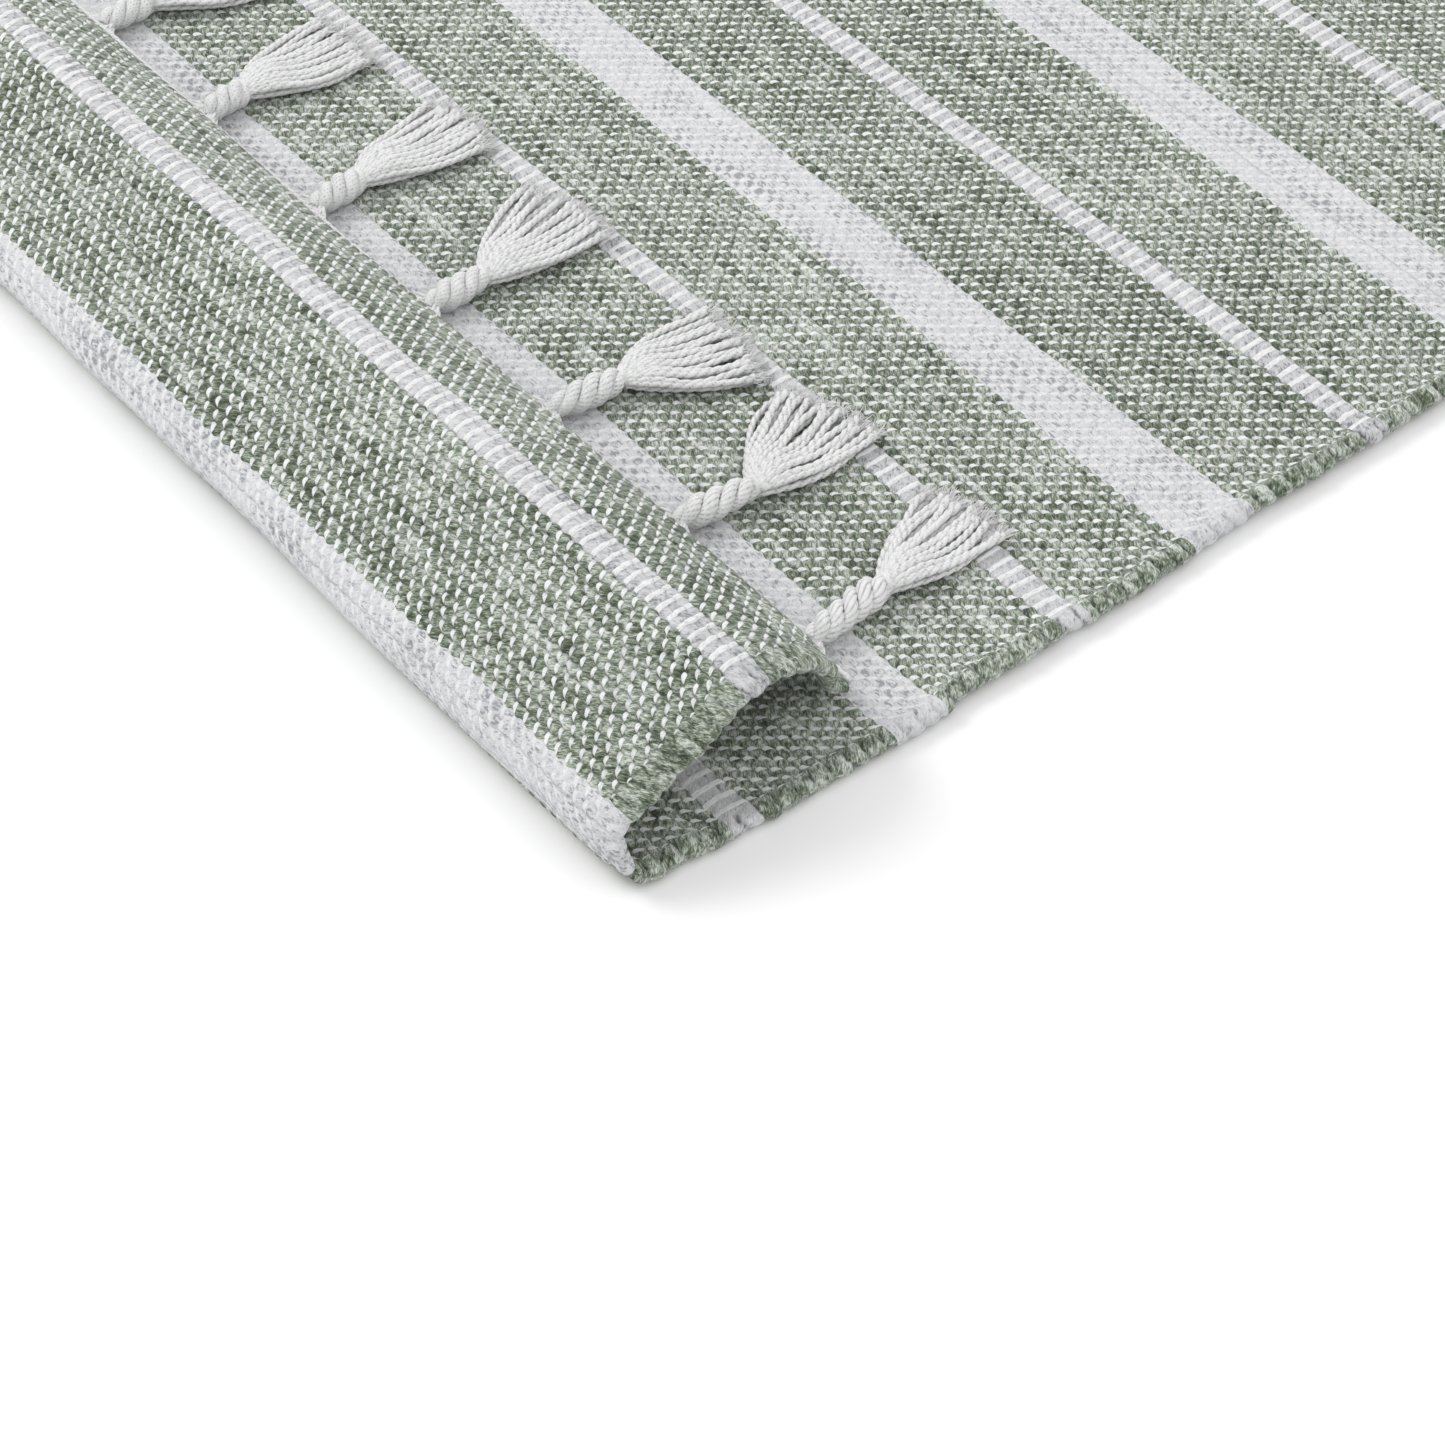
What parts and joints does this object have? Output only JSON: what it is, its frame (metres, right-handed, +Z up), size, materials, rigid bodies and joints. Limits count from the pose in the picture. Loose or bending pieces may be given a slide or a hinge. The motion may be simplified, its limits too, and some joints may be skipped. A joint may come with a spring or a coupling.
{
  "type": "runner rug",
  "caption": "Flat-woven striped runner rug with tasselled ends, one end folded back over itself; the fold opens flat and each tassel lifts.",
  "frame": {"origin": "centre of the outer box, on the floor under the rug", "axes": "+X along the length, from the folded end to the far end; +Y across the width; +Z up"},
  "size_m": [1.8784, 0.7, 0.0503],
  "materials": {
    "sage_weft": "matte",
    "light_weft": "matte",
    "white_weft": "matte",
    "warp_yarn": "matte"
  },
  "bodies": {
    "field": {"base_field": "sage_weft", "end_cord_far": "warp_yarn"},
    "fold_low": {"fold_low": "sage_weft"},
    "fold_mid": {"fold_mid": "light_weft"},
    "fold_high": {"fold_high": "light_weft"},
    "roof_panel": {"roof_panel": "sage_weft"},
    "ridge_rib": {"ridge_rib": "white_weft"},
    "flap_panel": {"flap_panel": "sage_weft"},
    "flap_tail": {"flap_tail": "sage_weft"},
    "toe_panel": {"toe_panel": "sage_weft"},
    "folded_end": {"end_cord_folded": "warp_yarn"},
    "tassel_folded_01": {"tassel_folded_01_neck": "warp_yarn", "tassel_folded_01_skirt": "warp_yarn"},
    "tassel_folded_02": {"tassel_folded_02_neck": "warp_yarn", "tassel_folded_02_skirt": "warp_yarn"},
    "tassel_folded_03": {"tassel_folded_03_neck": "warp_yarn", "tassel_folded_03_skirt": "warp_yarn"},
    "tassel_folded_04": {"tassel_folded_04_neck": "warp_yarn", "tassel_folded_04_skirt": "warp_yarn"},
    "tassel_folded_05": {"tassel_folded_05_neck": "warp_yarn", "tassel_folded_05_skirt": "warp_yarn"},
    "tassel_folded_06": {"tassel_folded_06_neck": "warp_yarn", "tassel_folded_06_skirt": "warp_yarn"},
    "tassel_folded_07": {"tassel_folded_07_neck": "warp_yarn", "tassel_folded_07_skirt": "warp_yarn"},
    "tassel_folded_08": {"tassel_folded_08_neck": "warp_yarn", "tassel_folded_08_skirt": "warp_yarn"},
    "tassel_folded_09": {"tassel_folded_09_neck": "warp_yarn", "tassel_folded_09_skirt": "warp_yarn"},
    "tassel_folded_10": {"tassel_folded_10_neck": "warp_yarn", "tassel_folded_10_skirt": "warp_yarn"},
    "tassel_far_01": {"tassel_far_01_neck": "warp_yarn", "tassel_far_01_skirt": "warp_yarn"},
    "tassel_far_02": {"tassel_far_02_neck": "warp_yarn", "tassel_far_02_skirt": "warp_yarn"},
    "tassel_far_03": {"tassel_far_03_neck": "warp_yarn", "tassel_far_03_skirt": "warp_yarn"},
    "tassel_far_04": {"tassel_far_04_neck": "warp_yarn", "tassel_far_04_skirt": "warp_yarn"},
    "tassel_far_05": {"tassel_far_05_neck": "warp_yarn", "tassel_far_05_skirt": "warp_yarn"},
    "tassel_far_06": {"tassel_far_06_neck": "warp_yarn", "tassel_far_06_skirt": "warp_yarn"},
    "tassel_far_07": {"tassel_far_07_neck": "warp_yarn", "tassel_far_07_skirt": "warp_yarn"},
    "tassel_far_08": {"tassel_far_08_neck": "warp_yarn", "tassel_far_08_skirt": "warp_yarn"},
    "tassel_far_09": {"tassel_far_09_neck": "warp_yarn", "tassel_far_09_skirt": "warp_yarn"},
    "tassel_far_10": {"tassel_far_10_neck": "warp_yarn", "tassel_far_10_skirt": "warp_yarn"}
  },
  "joints": [
    {"name": "fold", "type": "hinge", "parent": "field", "child": "fold_low", "pos_m": [-0.92938, 0, 0.00225], "axis": [0, 1, 0], "range_deg": [-38.62, 0]},
    {"name": "fold_bend_2", "type": "hinge", "parent": "fold_low", "child": "fold_mid", "pos_m": [-0.93477, 0, 0.00656], "axis": [0, 1, 0], "range_deg": [-38.62, 0]},
    {"name": "fold_bend_3", "type": "hinge", "parent": "fold_mid", "child": "fold_high", "pos_m": [-0.93706, 0, 0.01665], "axis": [0, 1, 0], "range_deg": [-38.62, 0]},
    {"name": "fold_bend_4", "type": "hinge", "parent": "fold_high", "child": "roof_panel", "pos_m": [-0.93405, 0, 0.02286], "axis": [0, 1, 0], "range_deg": [-38.62, 0]},
    {"name": "ridge_bend_1", "type": "hinge", "parent": "roof_panel", "child": "ridge_rib", "pos_m": [-0.88111, 0, 0.04811], "axis": [0, 1, 0], "range_deg": [-36, 0]},
    {"name": "ridge_bend_2", "type": "hinge", "parent": "ridge_rib", "child": "flap_panel", "pos_m": [-0.87093, 0, 0.04622], "axis": [0, 1, 0], "range_deg": [-21, 0]},
    {"name": "flap_bend", "type": "hinge", "parent": "flap_panel", "child": "flap_tail", "pos_m": [-0.85328, 0, 0.03541], "axis": [0, 1, 0], "range_deg": [-28.5, 0]},
    {"name": "toe_bend_1", "type": "hinge", "parent": "flap_tail", "child": "toe_panel", "pos_m": [-0.84121, 0, 0.01449], "axis": [0, -1, 0], "range_deg": [-30, 0]},
    {"name": "toe_bend_2", "type": "hinge", "parent": "toe_panel", "child": "folded_end", "pos_m": [-0.83523, 0, 0.01104], "axis": [0, -1, 0], "range_deg": [-30, 0]},
    {"name": "tassel_folded_01_lift", "type": "hinge", "parent": "folded_end", "child": "tassel_folded_01", "pos_m": [-0.83103, -0.30375, 0.00899], "axis": [0, -1, 0], "range_deg": [0, 60]},
    {"name": "tassel_folded_02_lift", "type": "hinge", "parent": "folded_end", "child": "tassel_folded_02", "pos_m": [-0.83103, -0.23625, 0.00899], "axis": [0, -1, 0], "range_deg": [0, 60]},
    {"name": "tassel_folded_03_lift", "type": "hinge", "parent": "folded_end", "child": "tassel_folded_03", "pos_m": [-0.83103, -0.16875, 0.00899], "axis": [0, -1, 0], "range_deg": [0, 60]},
    {"name": "tassel_folded_04_lift", "type": "hinge", "parent": "folded_end", "child": "tassel_folded_04", "pos_m": [-0.83103, -0.10125, 0.00899], "axis": [0, -1, 0], "range_deg": [0, 60]},
    {"name": "tassel_folded_05_lift", "type": "hinge", "parent": "folded_end", "child": "tassel_folded_05", "pos_m": [-0.83103, -0.03375, 0.00899], "axis": [0, -1, 0], "range_deg": [0, 60]},
    {"name": "tassel_folded_06_lift", "type": "hinge", "parent": "folded_end", "child": "tassel_folded_06", "pos_m": [-0.83103, 0.03375, 0.00899], "axis": [0, -1, 0], "range_deg": [0, 60]},
    {"name": "tassel_folded_07_lift", "type": "hinge", "parent": "folded_end", "child": "tassel_folded_07", "pos_m": [-0.83103, 0.10125, 0.00899], "axis": [0, -1, 0], "range_deg": [0, 60]},
    {"name": "tassel_folded_08_lift", "type": "hinge", "parent": "folded_end", "child": "tassel_folded_08", "pos_m": [-0.83103, 0.16875, 0.00899], "axis": [0, -1, 0], "range_deg": [0, 60]},
    {"name": "tassel_folded_09_lift", "type": "hinge", "parent": "folded_end", "child": "tassel_folded_09", "pos_m": [-0.83103, 0.23625, 0.00899], "axis": [0, -1, 0], "range_deg": [0, 60]},
    {"name": "tassel_folded_10_lift", "type": "hinge", "parent": "folded_end", "child": "tassel_folded_10", "pos_m": [-0.83103, 0.30375, 0.00899], "axis": [0, -1, 0], "range_deg": [0, 60]},
    {"name": "tassel_far_01_lift", "type": "hinge", "parent": "field", "child": "tassel_far_01", "pos_m": [0.85847, -0.30375, 0.0043], "axis": [0, -1, 0], "range_deg": [0, 60]},
    {"name": "tassel_far_02_lift", "type": "hinge", "parent": "field", "child": "tassel_far_02", "pos_m": [0.85847, -0.23625, 0.0043], "axis": [0, -1, 0], "range_deg": [0, 60]},
    {"name": "tassel_far_03_lift", "type": "hinge", "parent": "field", "child": "tassel_far_03", "pos_m": [0.85847, -0.16875, 0.0043], "axis": [0, -1, 0], "range_deg": [0, 60]},
    {"name": "tassel_far_04_lift", "type": "hinge", "parent": "field", "child": "tassel_far_04", "pos_m": [0.85847, -0.10125, 0.0043], "axis": [0, -1, 0], "range_deg": [0, 60]},
    {"name": "tassel_far_05_lift", "type": "hinge", "parent": "field", "child": "tassel_far_05", "pos_m": [0.85847, -0.03375, 0.0043], "axis": [0, -1, 0], "range_deg": [0, 60]},
    {"name": "tassel_far_06_lift", "type": "hinge", "parent": "field", "child": "tassel_far_06", "pos_m": [0.85847, 0.03375, 0.0043], "axis": [0, -1, 0], "range_deg": [0, 60]},
    {"name": "tassel_far_07_lift", "type": "hinge", "parent": "field", "child": "tassel_far_07", "pos_m": [0.85847, 0.10125, 0.0043], "axis": [0, -1, 0], "range_deg": [0, 60]},
    {"name": "tassel_far_08_lift", "type": "hinge", "parent": "field", "child": "tassel_far_08", "pos_m": [0.85847, 0.16875, 0.0043], "axis": [0, -1, 0], "range_deg": [0, 60]},
    {"name": "tassel_far_09_lift", "type": "hinge", "parent": "field", "child": "tassel_far_09", "pos_m": [0.85847, 0.23625, 0.0043], "axis": [0, -1, 0], "range_deg": [0, 60]},
    {"name": "tassel_far_10_lift", "type": "hinge", "parent": "field", "child": "tassel_far_10", "pos_m": [0.85847, 0.30375, 0.0043], "axis": [0, -1, 0], "range_deg": [0, 60]}
  ],
  "couplings": [
    {"joint": "fold_bend_2", "follows": "fold", "ratio": 1},
    {"joint": "fold_bend_3", "follows": "fold", "ratio": 1},
    {"joint": "fold_bend_4", "follows": "fold", "ratio": 1},
    {"joint": "ridge_bend_1", "follows": "fold", "ratio": 0.93204},
    {"joint": "ridge_bend_2", "follows": "fold", "ratio": 0.54369},
    {"joint": "flap_bend", "follows": "fold", "ratio": 0.73786},
    {"joint": "toe_bend_1", "follows": "fold", "ratio": 0.7767},
    {"joint": "toe_bend_2", "follows": "fold", "ratio": 0.7767}
  ]
}
